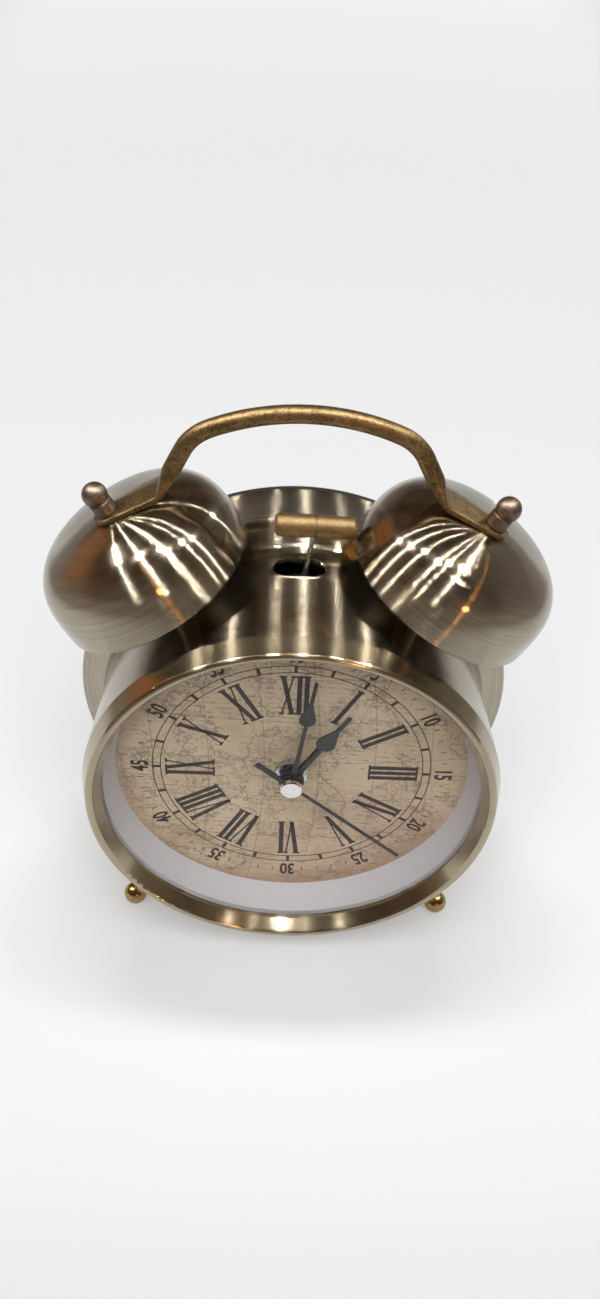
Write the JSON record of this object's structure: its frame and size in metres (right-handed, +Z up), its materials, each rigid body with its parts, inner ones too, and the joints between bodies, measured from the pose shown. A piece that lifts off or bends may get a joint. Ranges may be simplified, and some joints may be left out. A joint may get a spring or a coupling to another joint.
{
  "type": "twin bell alarm clock",
  "caption": "Round brass case on ball feet with bells on top, a hammer swinging between them, a carrying handle, spade hands over a printed dial and a battery movement.",
  "frame": {"origin": "on the table, under the middle of the overall box", "axes": "+Z up, the dial faces -Y, +X to the right as seen from the front"},
  "size_m": [0.122, 0.0697, 0.1502],
  "materials": {
    "case_brass": "antique brass brushed around the drum",
    "bezel_brass": "pale satin brass",
    "bell_brass": "antique brass, spun and brushed",
    "handle_brass": "aged brass, slightly speckled",
    "finial_brass": "pale matte brass",
    "golden_brass": "golden polished brass",
    "lens": "clear flat lens",
    "white_plastic": "white moulded plastic",
    "lamp_clear": "clear lamp body",
    "dial_print": "printed parchment colours",
    "black_plastic": "black moulded plastic, fine grain",
    "grey_plastic": "light grey moulded plastic",
    "steel": "plain bright steel",
    "chrome": "polished",
    "gear_plastic": "natural moulded gear plastic",
    "hand_black": "satin black",
    "board": "green board",
    "copper": "enamelled copper winding",
    "magnet": "moulded magnet"
  },
  "bodies": {
    "case": {"case_drum": "case_brass", "front_bezel": "bezel_brass", "lens_glass": "lens", "reflector_ring": "white_plastic", "dial_plate": "dial_print", "dial_carrier": "white_plastic", "dial_lamps": "lamp_clear", "rear_cover": "black_plastic", "rear_screws": "steel", "battery_contacts": "steel", "left_foot": "golden_brass", "right_foot": "golden_brass", "left_post": "bell_brass", "right_post": "bell_brass", "post_nuts": "steel", "left_bell": "bell_brass", "right_bell": "bell_brass", "handle": "handle_brass", "left_finial": "finial_brass", "right_finial": "finial_brass", "hammer_bracket": "steel", "hammer_pin": "steel", "strike_motor": "steel", "movement_front": "black_plastic", "movement_case": "black_plastic", "movement_screws": "steel", "middle_plate": "white_plastic", "dial_nut": "steel", "circuit_board": "board", "stator_plate": "steel", "drive_coil": "copper"},
    "second": {"second_hand": "hand_black", "second_cap": "chrome", "seconds_wheel": "gear_plastic"},
    "minute": {"minute_hand": "hand_black", "centre_wheel": "gear_plastic"},
    "hour": {"hour_hand": "hand_black", "hour_wheel": "gear_plastic"},
    "alarm_set": {"alarm_hand": "hand_black", "alarm_wheel": "gear_plastic"},
    "third": {"third_wheel": "gear_plastic"},
    "step": {"step_wheel": "gear_plastic"},
    "rotor": {"rotor": "magnet"},
    "time_set": {"minute_wheel": "gear_plastic", "time_knob": "black_plastic"},
    "alarm_knob": {"alarm_pinion": "gear_plastic", "alarm_knob": "black_plastic"},
    "hammer": {"hammer_rod": "steel", "hammer_head": "golden_brass"},
    "crank": {"motor_crank": "steel"},
    "alarm_switch": {"alarm_switch": "grey_plastic"},
    "light_button": {"light_button": "grey_plastic"},
    "battery_door": {"battery_door": "black_plastic"}
  },
  "joints": [
    {"name": "second_spin", "type": "hinge", "parent": "case", "child": "second", "pos_m": [0, 0, 0.0564], "axis": [0, 1, 0], "continuous": true},
    {"name": "minute_turn", "type": "hinge", "parent": "case", "child": "minute", "pos_m": [0, 0, 0.0564], "axis": [0, 1, 0], "continuous": true},
    {"name": "hour_turn", "type": "hinge", "parent": "case", "child": "hour", "pos_m": [0, 0, 0.0564], "axis": [0, 1, 0], "continuous": true},
    {"name": "third_turn", "type": "hinge", "parent": "case", "child": "third", "pos_m": [0, 0, 0.0672], "axis": [0, 1, 0], "continuous": true},
    {"name": "step_turn", "type": "hinge", "parent": "case", "child": "step", "pos_m": [0, 0, 0.0492], "axis": [0, 1, 0], "continuous": true},
    {"name": "rotor_turn", "type": "hinge", "parent": "case", "child": "rotor", "pos_m": [0, 0, 0.0422], "axis": [0, 1, 0], "continuous": true},
    {"name": "time_knob_turn", "type": "hinge", "parent": "case", "child": "time_set", "pos_m": [-0.012, 0, 0.0564], "axis": [0, 1, 0], "continuous": true},
    {"name": "alarm_knob_turn", "type": "hinge", "parent": "case", "child": "alarm_knob", "pos_m": [0.012, 0, 0.0564], "axis": [0, 1, 0], "continuous": true},
    {"name": "alarm_hand_turn", "type": "hinge", "parent": "case", "child": "alarm_set", "pos_m": [0, 0, 0.0564], "axis": [0, 1, 0], "continuous": true},
    {"name": "hammer_swing", "type": "hinge", "parent": "case", "child": "hammer", "pos_m": [0, 0, 0.0964], "axis": [0, 1, 0], "range_deg": [-16.4, 0]},
    {"name": "crank_turn", "type": "hinge", "parent": "case", "child": "crank", "pos_m": [0, 0, 0.0894], "axis": [0, 1, 0], "range_deg": [-180, 0]},
    {"name": "alarm_switch_slide", "type": "slide", "parent": "case", "child": "alarm_switch", "axis": [1, 0, 0], "range_m": [0, 0.005]},
    {"name": "light_button_press", "type": "slide", "parent": "case", "child": "light_button", "axis": [0, -1, 0], "range_m": [0, 0.0015], "stiffness_N_per_m": 400, "springref_m": -0.0005},
    {"name": "battery_door_pull", "type": "slide", "parent": "case", "child": "battery_door", "axis": [0, 1, 0], "range_m": [0, 0.03]}
  ],
  "couplings": [
    {"joint": "minute_turn", "follows": "second_spin", "ratio": 0.016667},
    {"joint": "hour_turn", "follows": "second_spin", "ratio": 0.0013889},
    {"joint": "third_turn", "follows": "second_spin", "ratio": -0.13333},
    {"joint": "time_knob_turn", "follows": "second_spin", "ratio": -0.0055556},
    {"joint": "step_turn", "follows": "second_spin", "ratio": -5},
    {"joint": "rotor_turn", "follows": "second_spin", "ratio": 30},
    {"joint": "alarm_hand_turn", "follows": "alarm_knob_turn", "ratio": -0.33333},
    {"joint": "crank_turn", "follows": "hammer_swing", "ratio": 10.975}
  ]
}
